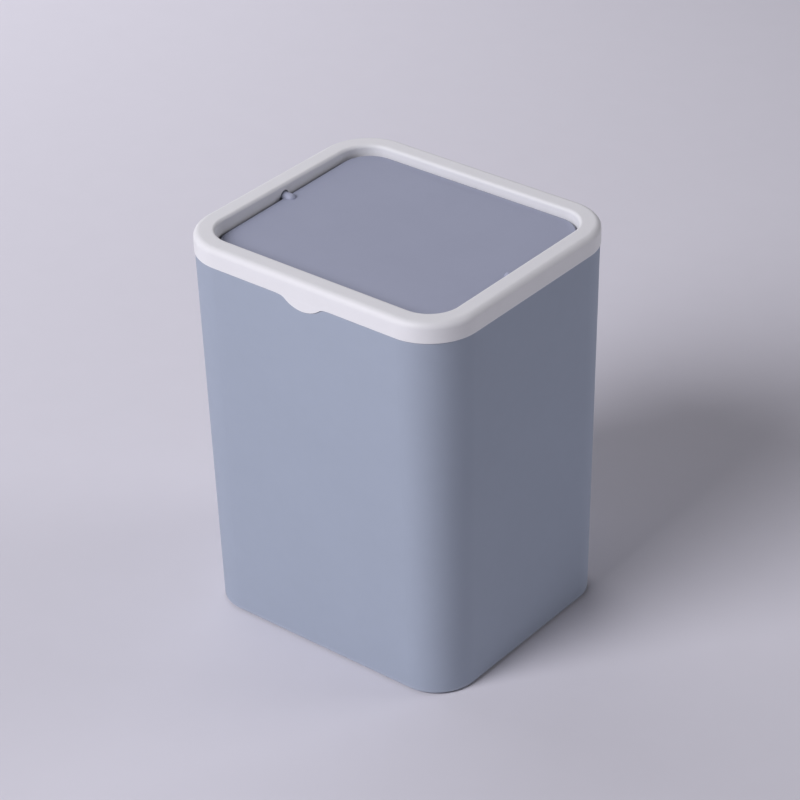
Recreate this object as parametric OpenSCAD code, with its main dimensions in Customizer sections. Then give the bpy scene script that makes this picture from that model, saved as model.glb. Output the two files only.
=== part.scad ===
// Countertop bin with a push top. A drafted bucket carries a lift-off top frame,
// and a ballasted flap swings on two pins in that frame.
// X runs to the right, -Y is the front, and Z is up from the table.

/* [Overall] */
// Width over the top frame
frame_w = 154.5; // [140:0.5:175]
// Depth over the top frame, front to back
frame_d = 134.5; // [122:0.5:155]
// Height from the table to the frame's top face
height = 200; // [170:1:240]
// Corner radius of the top frame, seen from above
corner_r = 24.9; // [21:0.1:30]

/* [Top frame] */
// Height of the frame's outer band
band_h = 10; // [9:0.5:13]
// Width of the frame's top face, from the outside to the well
rim_w = 10; // [9:0.1:11]
// Thickness of the outer band
band_t = 1.5; // [1.3:0.1:1.8]
// Thickness of the top face
deck_t = 2; // [1.6:0.1:2.4]
// Thickness of the wall round the flap
well_t = 1.6; // [1.2:0.1:1.8]
// Depth of the wall round the flap, from the top face
well_h = 16; // [14:0.5:20]
// Radius of the frame's outer top edge
top_edge_r = 3; // [1.5:0.1:3.5]
// Radius of the frame's inner top edge
well_edge_r = 1.6; // [0.5:0.1:1.8]
// Radius along the frame's lower edges
band_edge_r = 0.5; // [0.2:0.1:0.6]
// Thickness of the guide ribs that centre the frame on the body's neck
guide_t = 1.2; // [1:0.1:1.6]
// Gap between a guide rib and the neck
guide_gap = 0.3; // [0.2:0.05:0.5]
// Chamfer that leads a guide rib into the neck
guide_lead = 1.2; // [0.6:0.1:1.6]
// Distance between the guide ribs along a side
guide_pitch = 34; // [26:1:34]

/* [Finger tab] */
// Radius of the tab's round lower edge
tab_r = 16; // [12:0.5:22]
// How far the tab hangs below the outer band
tab_drop = 4.5; // [3:0.5:6]
// Radius of the blends from the band into the tab
tab_blend_r = 4; // [2:0.5:6]
// Gap between the tab and its recess in the body
tab_gap = 0.3; // [0.2:0.1:0.6]

/* [Body] */
// How far the outer band stands proud of the body
band_step = 0.4; // [0.2:0.1:0.7]
// Thickness of the body's side walls
wall_t = 2.8; // [2.6:0.1:3.2]
// How far each side wall leans in from the shoulder to the base
wall_lean = 3.6; // [2:0.1:5]
// Height of the neck inside the outer band, above the shoulder
neck_h = 7; // [5:0.1:7.2]
// Gap between the neck and the outer band
neck_gap = 0.25; // [0.2:0.05:0.4]
// Thickness of the body's floor
floor_t = 2.6; // [2.2:0.1:4]
// Radius of the body's bottom edge
base_edge_r = 1.8; // [1:0.1:2.2]
// Radius between the floor and the walls inside
floor_fillet_r = 6; // [3:0.5:10]
// Radius on the neck's top edges
neck_edge_r = 0.5; // [0.3:0.1:0.6]
// Depth of the hollow panel under the floor
under_panel_h = 0.8; // [0.4:0.1:1.2]
// Width of the rim round that hollow panel
under_rim_w = 18; // [17:0.5:22]

/* [Feet] */
// Radius of a foot pad
pad_r = 5; // [4:0.5:6]
// Thickness of a foot pad
pad_t = 1.6; // [1.4:0.1:2]
// How far a foot pad stands out under the body
pad_drop = 0.8; // [0.5:0.1:1]
// Distance of a pad's centre outside the corner's own axis
pad_out = 7; // [6:0.5:9]

/* [Flap] */
// Depth of the flap's top face below the frame's top face
flap_drop = 5.8; // [5:0.1:6.4]
// Angle at which the free flap comes to rest, its rear edge up
flap_tilt = 1.2; // [0:0.1:2]
// Gap between the flap and the well at the left and right
side_gap = 1.2; // [1:0.1:2.2]
// Gap between the flap and the well at the front and back
end_gap = 0.6; // [0.6:0.1:1.4]
// Corner radius of the flap
flap_corner_r = 15; // [13:0.1:16]
// Thickness of the flap's top
flap_t = 2.2; // [1.8:0.1:2.6]
// Height of the skirt round the flap, top face included
skirt_h = 5.4; // [4:0.1:5.6]
// Thickness of that skirt
skirt_t = 1.8; // [1.4:0.1:2.2]
// Radius of the flap's top edge
flap_edge_r = 0.9; // [0.3:0.1:1.3]
// Thickness of the ribs under the flap
rib_t = 1.4; // [1:0.1:1.8]
// How far the ribs reach below the flap's top
rib_h = 3; // [2:0.1:4]
// Distance between the ribs that run front to back
rib_pitch = 36; // [28:1:40]

/* [Pivot] */
// Depth of the pivot axis below the frame's top face
axis_drop = 6.1; // [5.9:0.1:6.4]
// Radius of the knuckles on the flap
knuckle_r = 2.2; // [2.1:0.1:2.3]
// Length of knuckle that shows on the flap's top face
knuckle_show = 5.2; // [4.8:0.1:7]
// Gap between a knuckle and its notch in the frame
notch_gap = 0.7; // [0.6:0.05:0.75]
// Radius of a pivot pin
pin_r = 1.2; // [0.9:0.1:1.3]
// Length of a pivot pin
pin_l = 10; // [8:0.1:10.4]
// Radial gap between a pin and its bearing
bearing_gap = 0.05; // [0.02:0.01:0.08]
// Width of a bearing block, front to back
block_w = 14; // [11:0.5:17]
// Thickness of a bearing block
block_t = 3.4; // [3:0.1:3.6]
// Wall of a bearing block above and below the pin
block_wall = 3; // [2.4:0.1:3.6]
// Gap at each end of a knuckle and behind a bearing block
end_play = 0.25; // [0.2:0.05:0.4]
// How far the stop lug stands out of a knuckle
stop_h = 0.7; // [0.65:0.05:0.7]
// Thickness of the stop lug
stop_t = 1.45; // [1.3:0.05:1.45]

/* [Counterweight] */
// Radius of the steel bar
bar_r = 4; // [3:0.1:4.5]
// Length of the steel bar
bar_l = 96; // [70:1:104]
// Depth of the bar's centre below the pivot axis
bar_drop = 9.1; // [8.6:0.1:11]
// Gap between the bar and the keel's walls
bar_gap = 0.4; // [0.3:0.1:0.8]
// Thickness of the keel's walls and of its cover
keel_t = 1.4; // [1.2:0.1:1.8]
// How far the cover's lips reach up the keel
cover_lip = 5; // [3:0.5:7]
// Thickness of a saddle that holds the bar
saddle_t = 2; // [1.5:0.1:3]
// Distance between saddles
saddle_pitch = 32; // [20:1:36]

/* [Hidden] */
$fn = 96;
// Overlap that makes cuts break through cleanly
eps = 0.01;
// All the corners of the body and the frame turn about these four upright axes
corner_x = frame_w / 2 - corner_r;
corner_y = frame_d / 2 - corner_r;
// Heights
shoulder_z = height - band_h;
base_z = pad_drop;
axis_z = height - axis_drop;
well_bottom_z = height - well_h;
// Distances out from the corner axes
band_in = corner_r - band_t;
well_in = corner_r - rim_w;
body_out = corner_r - band_step;
neck_out = band_in - neck_gap;
neck_in = body_out - wall_t;
lean_slope = wall_lean / (shoulder_z - base_z);
base_out = body_out - wall_lean;
base_in = base_out - wall_t;
// Half width and half depth of the well
well_x = corner_x + well_in;
well_y = corner_y + well_in;
// Half width and half depth of the flap, and its own corner axes
flap_x = well_x - side_gap;
flap_y = well_y - end_gap;
flap_corner_x = flap_x - flap_corner_r;
flap_corner_y = flap_y - flap_corner_r;
// Heights on the flap, from the pivot axis
flap_top = axis_drop - flap_drop;
flap_under = flap_top - flap_t;
// Pivot
notch_r = knuckle_r + notch_gap;
knuckle_end_x = well_x + well_t - end_play;
block_x = well_x + well_t + end_play;
pin_end_x = block_x + block_t - end_play;
block_h = 2 * (pin_r + block_wall);
block_top_z = height - deck_t;
// Counterweight
keel_in = bar_r + bar_gap;
keel_out = keel_in + keel_t;
keel_end_x = bar_l / 2 + bar_gap;
keel_bottom = -bar_drop - keel_in;

// The sliver between a square corner and a round one, at the top right of the origin
module edge_round(r) {
    translate([-r, -r])
        difference() {
            square(r + eps);
            circle(r);
        }
}

// Sweeps an outline, drawn from a corner axis outwards, round a rounded rectangle
module swept(half_x, half_y) {
    for (turn = [0, 1]) {
        rotate([0, 0, 180 * turn]) {
            translate([half_x, half_y])
                rotate_extrude(angle = 90)
                    children();
            translate([-half_x, half_y])
                rotate([0, 0, 90])
                    rotate_extrude(angle = 90)
                        children();
            translate([half_x, half_y])
                rotate([90, 0, 0])
                    linear_extrude(2 * half_y)
                        children();
            translate([-half_x, half_y])
                rotate([90, 0, 90])
                    linear_extrude(2 * half_x)
                        children();
        }
    }
}

// A box that fills the middle of a swept shape
module middle(half_x, half_y, z_low, z_high) {
    translate([-half_x, -half_y, z_low])
        cube([2 * half_x, 2 * half_y, z_high - z_low]);
}

// A cylinder along X that starts at x_low
module bar_x(r, x_low, x_high) {
    translate([x_low, 0, 0])
        rotate([0, 90, 0])
            cylinder(r = r, h = x_high - x_low);
}

// Moves a piece of the flap from the pivot axis to its place in the bin
module in_flap() {
    translate([0, 0, axis_z])
        rotate([flap_tilt, 0, 0])
            children();
}

// The finger tab seen from the front, its upper edge on the X axis
module tab_outline(grow) {
    centre_z = tab_r - tab_drop;
    blend_x = sqrt(pow(tab_r + tab_blend_r, 2) - pow(centre_z + tab_blend_r, 2));
    touch_x = blend_x * tab_r / (tab_r + tab_blend_r);
    blend_r = tab_blend_r - grow;
    difference() {
        union() {
            intersection() {
                translate([0, centre_z])
                    circle(tab_r + grow);
                translate([-tab_r, -tab_r])
                    square([2 * tab_r, tab_r]);
            }
            for (side = [-1, 1])
                polygon([
                    [0, 0],
                    [side * blend_x, 0],
                    [side * blend_x, -tab_blend_r],
                    [side * touch_x, -tab_blend_r * tab_drop / (tab_r + tab_blend_r)]
                ]);
        }
        for (side = [-1, 1])
            translate([side * blend_x, -tab_blend_r])
                circle(blend_r);
    }
}

// The body's wall and floor, cut through beside a corner axis
module body_outline() {
    difference() {
        union() {
            polygon([
                [0, base_z],
                [base_out, base_z],
                [body_out, shoulder_z],
                [neck_out, shoulder_z],
                [neck_out, shoulder_z + neck_h],
                [neck_in, shoulder_z + neck_h],
                [neck_in, shoulder_z],
                [base_in, base_z + floor_t],
                [0, base_z + floor_t]
            ]);
            difference() {
                translate([base_in - floor_fillet_r, base_z + floor_t - eps])
                    square([floor_fillet_r + wall_t / 2, floor_fillet_r + eps]);
                translate([base_in - floor_fillet_r, base_z + floor_t + floor_fillet_r])
                    circle(floor_fillet_r);
            }
        }
        translate([base_out, base_z])
            mirror([0, 1])
                edge_round(base_edge_r);
        translate([neck_out, shoulder_z + neck_h])
            edge_round(neck_edge_r);
        translate([neck_in, shoulder_z + neck_h])
            mirror([1, 0])
                edge_round(neck_edge_r);
    }
}

module body() {
    color([0.64, 0.67, 0.74])
        difference() {
            union() {
                swept(corner_x, corner_y)
                    body_outline();
                middle(corner_x, corner_y, base_z, base_z + floor_t);
            }
            // Recess that the finger tab hangs in
            translate([0, -corner_y - neck_out, shoulder_z])
                rotate([90, 0, 0])
                    linear_extrude(wall_t)
                        tab_outline(tab_gap);
            // Hollow panel under the floor
            translate([0, 0, base_z - eps])
                swept(corner_x, corner_y)
                    square([base_out - under_rim_w, under_panel_h]);
            middle(corner_x, corner_y, base_z - eps, base_z + under_panel_h - eps);
            // Pockets for the foot pads
            for (side_x = [-1, 1], side_y = [-1, 1])
                foot_place(side_x, side_y)
                    translate([0, 0, pad_drop - eps])
                        cylinder(r = pad_r, h = pad_t - pad_drop + eps);
        }
}

// Puts a foot pad under one corner
module foot_place(side_x, side_y) {
    translate([side_x * (corner_x + pad_out), side_y * (corner_y + pad_out), 0])
        children();
}

module foot(side_x, side_y) {
    color([0.35, 0.36, 0.38])
        foot_place(side_x, side_y)
            cylinder(r = pad_r, h = pad_t);
}

// The frame's band, top face and well wall, cut through beside a corner axis
module frame_outline() {
    difference() {
        union() {
            translate([band_in, shoulder_z])
                square([band_t, band_h]);
            translate([well_in, height - deck_t])
                square([rim_w, deck_t]);
            translate([well_in, well_bottom_z])
                square([well_t, well_h]);
        }
        translate([corner_r, height])
            edge_round(top_edge_r);
        translate([well_in, height])
            mirror([1, 0])
                edge_round(well_edge_r);
        translate([corner_r, shoulder_z])
            mirror([0, 1])
                edge_round(band_edge_r);
        translate([well_in, well_bottom_z])
            mirror([1, 0])
                mirror([0, 1])
                    edge_round(band_edge_r);
    }
}

// The arched notch that a knuckle drops into, seen from the side
module notch_outline() {
    circle(notch_r);
    translate([-notch_r, -well_h])
        square([2 * notch_r, well_h]);
}

// Ribs that hold one bearing block behind the well wall
module block_pocket() {
    for (side = [-1, 1])
        translate([well_x + well_t - eps, side * (block_w + well_t) / 2 - well_t / 2, 0])
            translate([0, 0, axis_z - block_h / 2])
                cube([block_t + end_play, well_t, block_top_z - axis_z + block_h / 2 + eps]);
}

// A rib under the top face that reaches from the well wall towards the body's neck
module guide_rib() {
    reach = neck_in - guide_gap - well_in - well_t;
    rotate([90, 0, 0])
        translate([0, 0, -guide_t / 2])
            linear_extrude(guide_t)
                polygon([
                    [-eps, block_top_z + eps],
                    [reach, block_top_z + eps],
                    [reach, shoulder_z + guide_lead],
                    [reach - guide_lead, shoulder_z],
                    [-eps, shoulder_z]
                ]);
}

// The guide ribs of one long side and one short side
module guide_ribs() {
    for (place = [-1.5, -0.5, 0.5, 1.5])
        translate([place * guide_pitch, well_y + well_t, 0])
            rotate([0, 0, 90])
                guide_rib();
    for (side = [-1, 1])
        translate([well_x + well_t, side * guide_pitch, 0])
            guide_rib();
}

module top_frame() {
    color([0.89, 0.89, 0.91]) {
        difference() {
            union() {
                swept(corner_x, corner_y)
                    frame_outline();
                for (side = [0, 1])
                    mirror([side, 0, 0])
                        block_pocket();
                for (turn = [0, 180])
                    rotate([0, 0, turn])
                        guide_ribs();
            }
            for (side = [-1, 1])
                translate([side * well_x - rim_w / 2, 0, axis_z])
                    rotate([90, 0, 90])
                        linear_extrude(rim_w)
                            notch_outline();
        }
        translate([0, -corner_y - band_in, shoulder_z])
            rotate([90, 0, 0])
                linear_extrude(band_t)
                    tab_outline(0);
    }
}

// A bearing block, drawn on the right-hand side
module bearing() {
    color([0.93, 0.93, 0.92])
        difference() {
            translate([block_x, -block_w / 2, axis_z - block_h / 2])
                cube([block_t, block_w, block_top_z - axis_z + block_h / 2]);
            translate([0, 0, axis_z])
                bar_x(pin_r + bearing_gap, block_x - eps, block_x + block_t + eps);
        }
}

// The flap's top and skirt, cut through beside one of its corner axes
module flap_outline() {
    difference() {
        union() {
            translate([0, flap_under])
                square([flap_corner_r, flap_t]);
            translate([flap_corner_r - skirt_t, flap_top - skirt_h])
                square([skirt_t, skirt_h]);
        }
        translate([flap_corner_r, flap_top])
            edge_round(flap_edge_r);
    }
}

// The two walls, the ends and the saddles that hold the counterweight
module keel() {
    keel_h = flap_under - keel_bottom;
    for (side = [-1, 1])
        translate([-keel_end_x, side * (keel_in + keel_t / 2) - keel_t / 2, keel_bottom])
            cube([2 * keel_end_x, keel_t, keel_h + eps]);
    for (side = [0, 1])
        mirror([side, 0, 0])
            translate([keel_end_x, -keel_out, keel_bottom])
                cube([keel_t, 2 * keel_out, keel_h + eps]);
    for (place = [-1, 0, 1])
        translate([place * saddle_pitch - saddle_t / 2, -keel_in - eps, -bar_drop])
            cube([saddle_t, 2 * (keel_in + eps), flap_under + bar_drop + eps]);
}

// Ribs that stiffen the flap from below
module flap_ribs() {
    for (side = [-1, 1]) {
        translate([-flap_x + skirt_t / 2, side * flap_y / 2 - rib_t / 2, flap_under - rib_h])
            cube([2 * flap_x - skirt_t, rib_t, rib_h + eps]);
        translate([side * rib_pitch - rib_t / 2, -flap_y + skirt_t / 2, flap_under - rib_h])
            cube([rib_t, 2 * flap_y - skirt_t, rib_h + eps]);
    }
}

// A knuckle with its round end and stop lug, drawn on the right-hand side
module knuckle() {
    show_x = flap_x - knuckle_show + knuckle_r;
    bar_x(knuckle_r, show_x, knuckle_end_x);
    translate([show_x, 0, 0])
        rotate([0, 90, 0])
            sphere(knuckle_r);
    translate([well_x + end_play, -stop_t / 2, -knuckle_r - stop_h])
        cube([well_t - 2 * end_play, stop_t, knuckle_r + stop_h]);
}

module flap() {
    color([0.6, 0.62, 0.71])
        in_flap()
            difference() {
                union() {
                    swept(flap_corner_x, flap_corner_y)
                        flap_outline();
                    middle(flap_corner_x, flap_corner_y, flap_under, flap_top);
                    flap_ribs();
                    keel();
                    for (side = [0, 1])
                        mirror([side, 0, 0])
                            knuckle();
                }
                for (side = [0, 1])
                    mirror([side, 0, 0])
                        bar_x(pin_r, pin_end_x - pin_l, knuckle_end_x + eps);
                translate([0, 0, -bar_drop])
                    bar_x(bar_r, -keel_end_x, keel_end_x);
            }
}

// A pivot pin, drawn on the right-hand side
module pivot_pin() {
    color([0.75, 0.76, 0.78])
        in_flap()
            bar_x(pin_r, pin_end_x - pin_l, pin_end_x);
}

module counterweight() {
    color([0.6, 0.61, 0.63])
        in_flap()
            translate([0, 0, -bar_drop])
                bar_x(bar_r, -bar_l / 2, bar_l / 2);
}

module counterweight_cover() {
    cover_x = keel_end_x + keel_t;
    color([0.6, 0.62, 0.71])
        in_flap()
            difference() {
                union() {
                    translate([-cover_x, -keel_out - keel_t, keel_bottom - keel_t])
                        cube([2 * cover_x, 2 * (keel_out + keel_t), keel_t]);
                    for (side = [-1, 1])
                        translate([-cover_x, side * (keel_out + keel_t / 2) - keel_t / 2, keel_bottom - eps])
                            cube([2 * cover_x, keel_t, cover_lip]);
                    for (place = [-1, 0, 1])
                        translate([place * saddle_pitch - saddle_t / 2, -bar_r, keel_bottom - eps])
                            cube([saddle_t, 2 * bar_r, bar_r]);
                }
                translate([0, 0, -bar_drop])
                    bar_x(bar_r, -keel_end_x, keel_end_x);
            }
}

body();
foot(-1, -1);  // foot_front_left
foot(1, -1);  // foot_front_right
foot(-1, 1);  // foot_rear_left
foot(1, 1);  // foot_rear_right
top_frame();
mirror([1, 0, 0]) bearing();  // bearing_left
bearing();  // bearing_right
flap();
mirror([1, 0, 0]) pivot_pin();  // pivot_pin_left
pivot_pin();  // pivot_pin_right
counterweight();
counterweight_cover();
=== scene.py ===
"""The countertop bin of the photograph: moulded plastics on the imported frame, on a pale floor."""
from math import cos, radians, sin

import bpy
from mathutils import Matrix, Vector


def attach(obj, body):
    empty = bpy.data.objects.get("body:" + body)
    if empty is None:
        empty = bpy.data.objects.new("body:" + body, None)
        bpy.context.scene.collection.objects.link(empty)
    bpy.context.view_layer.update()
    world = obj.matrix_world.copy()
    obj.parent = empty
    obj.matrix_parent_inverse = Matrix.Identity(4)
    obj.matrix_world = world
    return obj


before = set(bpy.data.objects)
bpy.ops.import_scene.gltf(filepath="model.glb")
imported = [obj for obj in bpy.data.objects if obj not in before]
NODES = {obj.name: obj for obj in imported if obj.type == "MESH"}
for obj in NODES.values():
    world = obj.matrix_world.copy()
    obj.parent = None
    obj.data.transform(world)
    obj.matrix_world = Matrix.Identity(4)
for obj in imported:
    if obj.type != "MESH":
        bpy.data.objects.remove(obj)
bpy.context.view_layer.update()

MM = 0.001
MICRON = 0.000001

# Camera: where the photograph was taken from, in degrees and metres
CAMERA_AZIMUTH = 39.5
CAMERA_ELEVATION = 31.5
CAMERA_ROLL = -1.49
CAMERA_DISTANCE = 1.341
CAMERA_AIM = (0.0, 0.0, 0.1)
CAMERA_LEFT = 0.00089
CAMERA_UP = 0.00599
LENS_MM = 128.5
SENSOR_MM = 36.0

# Lamps: azimuth and elevation in degrees, distance and size in metres, power in watts
LAMPS = {
    "key": (-14.0, 38.0, 3.2, 1.8, 97.0),
    "side": (-115.0, 31.0, 0.9, 1.3, 3.7),
    "rear": (135.0, 18.0, 4.0, 2.2, 47.5),
}
LIGHT_COLOUR = (0.957, 0.942, 1.0)
WORLD_COLOUR = (0.90, 0.90, 1.0)
WORLD_STRENGTH = 0.01

# Floor: pale matt paper, half its width in metres
FLOOR_COLOUR = (0.70, 0.687, 0.744)
FLOOR_HALF = 6.0

# Plastics: linear colour, gloss, height of the mould's grain and of the sink in the surface
# against the usual, and how much lighter handled edges are
BODY_PLASTIC = {
    "colour": (0.359, 0.403, 0.486),
    "roughness": 0.52,
    "specular": 0.03,
    "grain": 1.0,
    "sink": 1.0,
    "wear": 0.10,
}
FLAP_PLASTIC = {
    "colour": (0.340, 0.362, 0.463),
    "roughness": 0.50,
    "specular": 0.2,
    "grain": 1.0,
    "sink": 1.0,
    "wear": 0.10,
}
FRAME_PLASTIC = {
    "colour": (0.785, 0.785, 0.797),
    "roughness": 0.58,
    "specular": 0.65,
    "grain": 0.35,
    "sink": 1.5,
    "wear": 0.12,
}

# Other materials: linear colour
ACETAL_COLOUR = (0.74, 0.74, 0.72)
STEEL_COLOUR = (0.60, 0.60, 0.61)
ZINC_COLOUR = (0.63, 0.66, 0.70)
RUBBER_COLOUR = (0.12, 0.125, 0.14)

# Detail that all plastics share
GRAIN_SIZE = 0.45 * MM
GRAIN_HEIGHT = 10 * MICRON
SINK_SIZE = 3.5 * MM
SINK_HEIGHT = 12 * MICRON
SPECK_SHARE = 0.4
EDGE_REACH = 1.1 * MM
EDGE_POLISH = 0.10
WORN_WHITE = 0.6
# Painted shade in narrow corners: how far it reaches, its greatest share and its dark colour
CREASE_SHADE_REACH = 2 * MM
CREASE_SHADE_SHARE = 0.10
CREASE_SHADE_COLOUR = (0.30, 0.29, 0.28, 1)
SMEAR = 0.035

# The frame's band above the finger tab: outer face, lower edge and the radius of its round;
# half the width that is filled square, how far the fill takes to fade, and its least and
# greatest radius as shares of the round's
BAND_FACE = -67.25 * MM
BAND_FOOT = 190 * MM
BAND_ROUND = 0.5 * MM
TAB_HALF = 11.5 * MM
TAB_FADE = 3.5 * MM
SHARPEST = 0.01
ROUNDEST = 0.98
BLEND_STEPS = 6


def direction(azimuth, elevation):
    """Unit vector from the object towards a place at that azimuth and elevation."""
    a, e = radians(azimuth), radians(elevation)
    return Vector((sin(a) * cos(e), -cos(a) * cos(e), sin(e)))


def link(obj):
    bpy.context.scene.collection.objects.link(obj)
    return obj


def make_camera():
    """The photograph's view: aimed at the middle of the part, then rolled and moved sideways."""
    back = direction(CAMERA_AZIMUTH, CAMERA_ELEVATION)
    level = (-back).cross(Vector((0, 0, 1))).normalized()
    upright = level.cross(-back)
    roll = radians(CAMERA_ROLL)
    right = level * cos(roll) + upright * sin(roll)
    up = upright * cos(roll) - level * sin(roll)
    place = Vector(CAMERA_AIM) + back * CAMERA_DISTANCE - right * CAMERA_LEFT + up * CAMERA_UP
    data = bpy.data.cameras.new("camera")
    data.lens, data.sensor_width = LENS_MM, SENSOR_MM
    camera = link(bpy.data.objects.new("camera", data))
    turn = Matrix((right, up, back)).transposed().to_4x4()
    camera.matrix_world = Matrix.Translation(place) @ turn
    bpy.context.scene.camera = camera


def make_lamp(name, azimuth, elevation, distance, size, power):
    """A round soft box that looks at the part and that the camera can't see."""
    data = bpy.data.lights.new(name, "AREA")
    data.shape, data.size = "DISK", size
    data.energy, data.color = power, LIGHT_COLOUR
    lamp = link(bpy.data.objects.new(name, data))
    away = direction(azimuth, elevation)
    lamp.location = Vector(CAMERA_AIM) + away * distance
    lamp.rotation_euler = away.to_track_quat("Z", "Y").to_euler()
    lamp.visible_camera = False


def make_world():
    world = bpy.data.worlds.new("world")
    bpy.context.scene.world = world
    world.use_nodes = True
    shade = world.node_tree.nodes["Background"]
    shade.inputs["Color"].default_value = (*WORLD_COLOUR, 1)
    shade.inputs["Strength"].default_value = WORLD_STRENGTH


def tint(colour, gain):
    return (*(c * gain for c in colour), 1)


def whitened(colour):
    """The colour that rubbing gives the plastic on its edges."""
    return (*(WORN_WHITE + (1 - WORN_WHITE) * c for c in colour), 1)


class Look:
    """One Principled material and the nodes that feed it, in object coordinates and metres."""

    def __init__(self, name, **constants):
        self.material = bpy.data.materials.new(name)
        self.material.use_nodes = True
        self.tree = self.material.node_tree
        self.shader = self.tree.nodes["Principled BSDF"]
        self.where = self.node("TexCoord").outputs["Object"]
        for socket, value in constants.items():
            self.shader.inputs[socket.replace("_", " ")].default_value = value

    def node(self, kind, sockets=(), **settings):
        made = self.tree.nodes.new("ShaderNode" + kind)
        for key, value in settings.items():
            setattr(made, key, value)
        for key, value in dict(sockets).items():
            if isinstance(value, bpy.types.NodeSocket):
                self.tree.links.new(value, made.inputs[key])
            else:
                made.inputs[key].default_value = value
        return made

    def noise(self, size, detail=2.0, stretch=(1, 1, 1)):
        """Noise from 0 to 1 with lumps of that size, drawn out where the stretch is above 1."""
        scale = tuple(1 / (size * s) for s in stretch)
        place = self.node("Mapping", {"Vector": self.where, "Scale": scale}).outputs[0]
        sockets = {"Vector": place, "Scale": 1.0, "Detail": detail}
        return self.node("TexNoise", sockets).outputs[0]

    def pits(self, size):
        """Rounded cells of that size: the grain that spark erosion leaves in a mould."""
        sockets = {"Vector": self.where, "Scale": 1 / size, "Smoothness": 0.6}
        return self.node("TexVoronoi", sockets, feature="SMOOTH_F1").outputs[0]

    def span(self, value, low, high, start=0.3, end=0.7):
        """The value from start to end, spread over low to high."""
        sockets = {0: value, 1: start, 2: end, 3: low, 4: high}
        return self.node("MapRange", sockets).outputs[0]

    def math(self, operation, first, second):
        return self.node("Math", {0: first, 1: second}, operation=operation).outputs[0]

    def blend(self, share, first, second):
        sockets = {0: share, 6: first, 7: second}
        return self.node("Mix", sockets, data_type="RGBA").outputs[2]

    def patches(self, low, high, **noise):
        """A value from low to high that changes over the surface as that noise does."""
        return self.span(self.noise(**noise), low, high)

    def clouds(self, colour, dark, light, **noise):
        """The colour, from dark to light times itself, changing as that noise does."""
        share = self.patches(0.0, 1.0, **noise)
        return self.blend(share, tint(colour, dark), tint(colour, light))

    def edges(self, reach):
        """1 on outer corners and edges, 0 where the piece is flat and thick."""
        sockets = {"Distance": reach}
        inside = self.node("AmbientOcclusion", sockets, inside=True, samples=4).outputs["AO"]
        return self.span(inside, 1.0, 0.0, start=0.45, end=0.95)

    def creases(self, reach):
        """1 in narrow corners, where the painted shade goes, 0 in the open."""
        sockets = {"Distance": reach}
        in_the_open = self.node("AmbientOcclusion", sockets, samples=3).outputs["AO"]
        return self.span(in_the_open, 1.0, 0.0, start=0.25, end=0.8)

    def relief(self, height, metres, under=None):
        """The surface raised by that height, on top of the relief under it."""
        sockets = {"Height": height, "Distance": metres, "Strength": 1.0}
        if under is not None:
            sockets["Normal"] = under
        return self.node("Bump", sockets).outputs[0]

    def finish(self, colour, roughness, normal):
        self.tree.links.new(colour, self.shader.inputs["Base Color"])
        self.tree.links.new(roughness, self.shader.inputs["Roughness"])
        self.tree.links.new(normal, self.shader.inputs["Normal"])
        return self.material


def moulded(name, colour, roughness, specular, grain, sink, wear):
    """Injection-moulded plastic: melt flow in the colour, grain, faint sink, handled edges and
    painted shade in narrow corners.
    """
    look = Look(name, Specular_IOR_Level=specular)
    flow = look.clouds(colour, dark=0.982, light=1.018, size=45 * MM, detail=3.0)
    specks = look.clouds(colour, dark=0.985, light=1.015, size=6 * MM)
    base = look.blend(SPECK_SHARE, flow, specks)
    touched = look.patches(0.25, 1.0, size=4 * MM, detail=3.0)
    handled = look.math("MULTIPLY", look.edges(EDGE_REACH), touched)
    base = look.blend(look.math("MULTIPLY", handled, wear), base, whitened(colour))
    # Painted shade: narrow corners darkened towards grey-brown, by up to a tenth
    crease_shade = look.math("MULTIPLY", look.creases(CREASE_SHADE_REACH), CREASE_SHADE_SHARE)
    base = look.blend(crease_shade, base, CREASE_SHADE_COLOUR)
    smears = {"size": 12 * MM, "detail": 3.0, "stretch": (1.0, 1.0, 3.0)}
    gloss = look.patches(roughness - SMEAR, roughness + SMEAR, **smears)
    gloss = look.math("SUBTRACT", gloss, look.math("MULTIPLY", handled, EDGE_POLISH))
    normal = look.relief(look.pits(GRAIN_SIZE), GRAIN_HEIGHT * grain)
    normal = look.relief(look.noise(SINK_SIZE, detail=1.0), SINK_HEIGHT * sink, normal)
    return look.finish(base, gloss, normal)


def acetal(name):
    """Pressed-in bearing plastic: waxy, slightly cloudy."""
    look = Look(name, Specular_IOR_Level=0.5)
    base = look.clouds(ACETAL_COLOUR, dark=0.97, light=1.02, size=2 * MM)
    gloss = look.patches(0.28, 0.36, size=1 * MM)
    return look.finish(base, gloss, look.relief(look.noise(size=0.4 * MM), 4 * MICRON))


def metal(name, colour, smooth, rough, lay, lay_height):
    """Drawn or ground bar: fine lines along X, with a dull patchy bloom."""
    look = Look(name, Metallic=1.0)
    base = look.clouds(colour, dark=0.93, light=1.05, size=3 * MM, detail=3.0)
    gloss = look.patches(smooth, rough, size=1.5 * MM)
    lines = look.noise(size=lay, stretch=(40.0, 1.0, 1.0))
    return look.finish(base, gloss, look.relief(lines, lay_height))


def rubber(name):
    """Moulded foot pad: dull, with a fine open grain and a little dust."""
    look = Look(name, Specular_IOR_Level=0.35)
    base = look.clouds(RUBBER_COLOUR, dark=0.9, light=1.25, size=1.2 * MM, detail=4.0)
    gloss = look.patches(0.78, 0.92, size=0.8 * MM)
    grain = look.noise(size=0.3 * MM, detail=3.0)
    return look.finish(base, gloss, look.relief(grain, 20 * MICRON))


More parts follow.
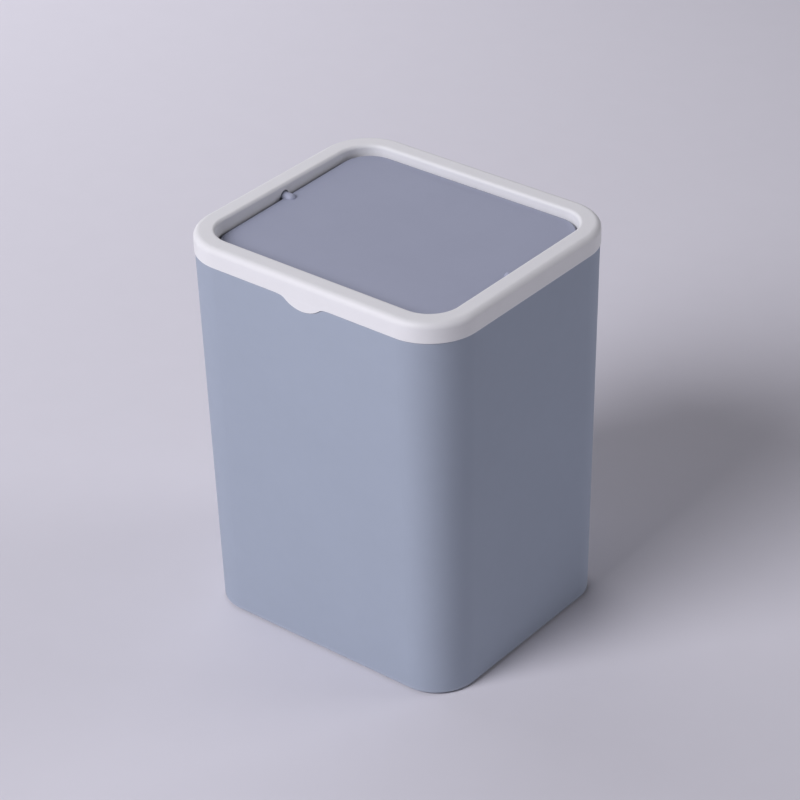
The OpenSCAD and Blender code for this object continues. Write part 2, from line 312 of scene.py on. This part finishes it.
def paper(name):
    """The pale sweep the object stands on."""
    look = Look(name, Specular_IOR_Level=0.25)
    base = look.clouds(FLOOR_COLOUR, dark=0.995, light=1.005, size=20 * MM, detail=4.0)
    gloss = look.patches(0.88, 0.96, size=4 * MM)
    fibres = look.noise(size=0.6 * MM, detail=3.0)
    return look.finish(base, gloss, look.relief(fibres, 6 * MICRON))


def make_object(name, points, faces, material):
    mesh = bpy.data.meshes.new(name)
    mesh.from_pydata(points, [], faces)
    mesh.materials.append(material)
    return link(bpy.data.objects.new(name, mesh))


def make_floor():
    s = FLOOR_HALF
    corners = [(-s, -s, 0), (s, -s, 0), (s, s, 0), (-s, s, 0)]
    make_object("floor", corners, [(0, 1, 2, 3)], paper("floor_paper"))


def blend_section(x):
    """Across the band's lower edge at that x: square where the tab hangs, round beside it."""
    share = min(max((abs(x) - TAB_HALF) / TAB_FADE, 0.0), 1.0)
    radius = BAND_ROUND * (SHARPEST + (ROUNDEST - SHARPEST) * share)
    turns = [radians(90 * step / BLEND_STEPS) for step in range(BLEND_STEPS + 1)]
    arc = [
        (BAND_FACE + radius * (1 - cos(turn)), BAND_FOOT + radius * (1 - sin(turn)))
        for turn in turns
    ]
    outline = [(BAND_FACE, BAND_FOOT + BAND_ROUND), *arc, (BAND_FACE + BAND_ROUND, BAND_FOOT)]
    return [(x, y, z) for y, z in outline]


def make_tab_blend(material):
    """Runs the band's front face into the finger tab, where the frame's lower edge is rounded."""
    half = [TAB_HALF + TAB_FADE * step / BLEND_STEPS for step in range(BLEND_STEPS + 1)]
    rows = [blend_section(x) for x in [-x for x in reversed(half)] + half]
    ring, last = len(rows[0]), len(rows) - 1
    faces = [tuple(reversed(range(ring))), tuple(last * ring + i for i in range(ring))]
    for row in range(last):
        a, b = row * ring, (row + 1) * ring
        for i in range(ring):
            j = (i + 1) % ring
            faces.append((a + i, a + j, b + j, b + i))
    points = [point for row in rows for point in row]
    piece = make_object("tab_blend", points, faces, material)
    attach(piece, "lid_frame")


def dress(material, *names):
    for name in names:
        mesh = NODES[name].data
        mesh.materials.clear()
        mesh.materials.append(material)


def dress_nodes():
    dress(moulded("body_plastic", **BODY_PLASTIC), "body")
    dress(moulded("flap_plastic", **FLAP_PLASTIC), "flap", "counterweight_cover")
    white = moulded("frame_plastic", **FRAME_PLASTIC)
    dress(white, "top_frame")
    make_tab_blend(white)
    dress(acetal("bearing_plastic"), "bearing_left", "bearing_right")
    drawn = metal("pin_steel", STEEL_COLOUR, 0.22, 0.32, lay=0.12 * MM, lay_height=2 * MICRON)
    dress(drawn, "pivot_pin_left", "pivot_pin_right")
    plated = metal("bar_steel", ZINC_COLOUR, 0.34, 0.48, lay=0.3 * MM, lay_height=6 * MICRON)
    dress(plated, "counterweight")
    dress(rubber("foot_rubber"), *(name for name in NODES if name.startswith("foot_")))


bpy.context.scene.view_settings.view_transform = "Standard"
make_camera()
make_world()
for lamp_name, settings in LAMPS.items():
    make_lamp(lamp_name, *settings)
make_floor()
dress_nodes()
